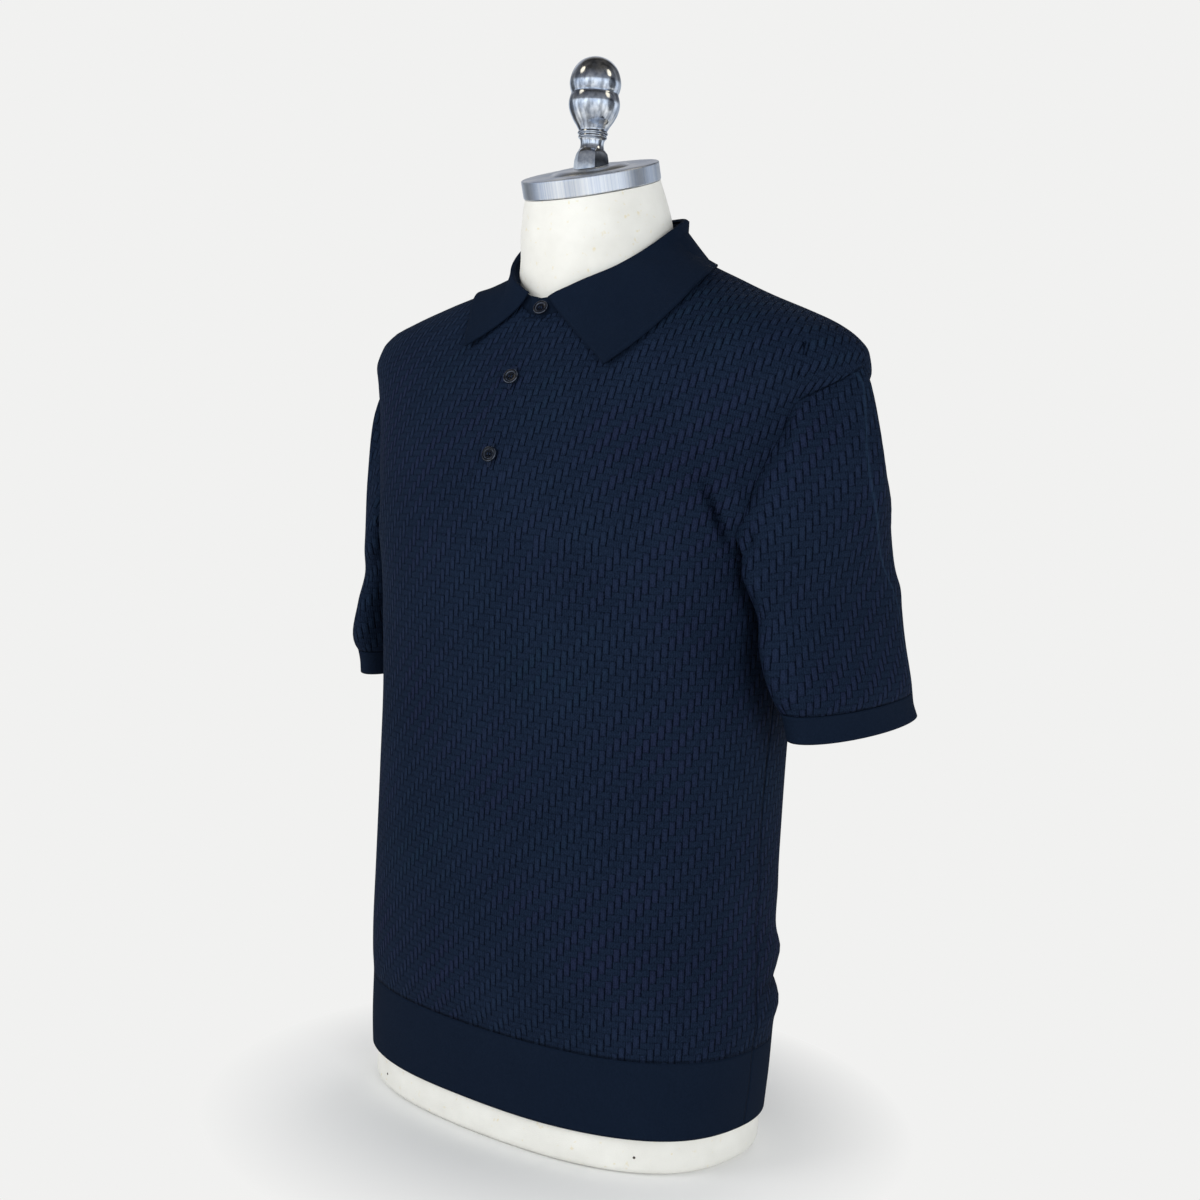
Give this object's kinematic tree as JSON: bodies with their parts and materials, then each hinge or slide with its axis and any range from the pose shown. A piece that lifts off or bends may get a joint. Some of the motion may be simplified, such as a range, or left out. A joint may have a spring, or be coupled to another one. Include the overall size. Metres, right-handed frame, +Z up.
{
  "type": "polo shirt on a limbless dress form",
  "caption": "Short-sleeved polo shirt in a plaited basket knit, buttoned to the neck, resting on a limbless dress form with a metal neck cap and knob",
  "frame": {"origin": "middle of the dress form's flat base, on the surface it stands on", "axes": "+Z up, the front of the shirt faces -Y, the wearer's left is +X"},
  "size_m": [0.5096, 0.2428, 0.8246],
  "materials": {
    "basket_knit": "plaited basket knit, matt, the upright floats a little brighter",
    "plain_knit": "fine plain knit, matt",
    "button": "glossy",
    "form_cover": "smooth, closely woven cover",
    "brushed_metal": "brushed round the rim",
    "bright_metal": "polished"
  },
  "bodies": {
    "root": {"front": "basket_knit", "back": "basket_knit", "sleeve_left": "basket_knit", "sleeve_right": "basket_knit", "placket": "basket_knit", "hem_front": "plain_knit", "hem_back": "plain_knit", "cuff_left": "plain_knit", "cuff_right": "plain_knit", "collar_stand": "plain_knit", "collar": "plain_knit", "button_1": "button", "button_2": "button", "button_3": "button", "form_body": "form_cover", "form_cap": "brushed_metal", "form_nut": "bright_metal", "form_knob": "bright_metal"}
  },
  "joints": []
}
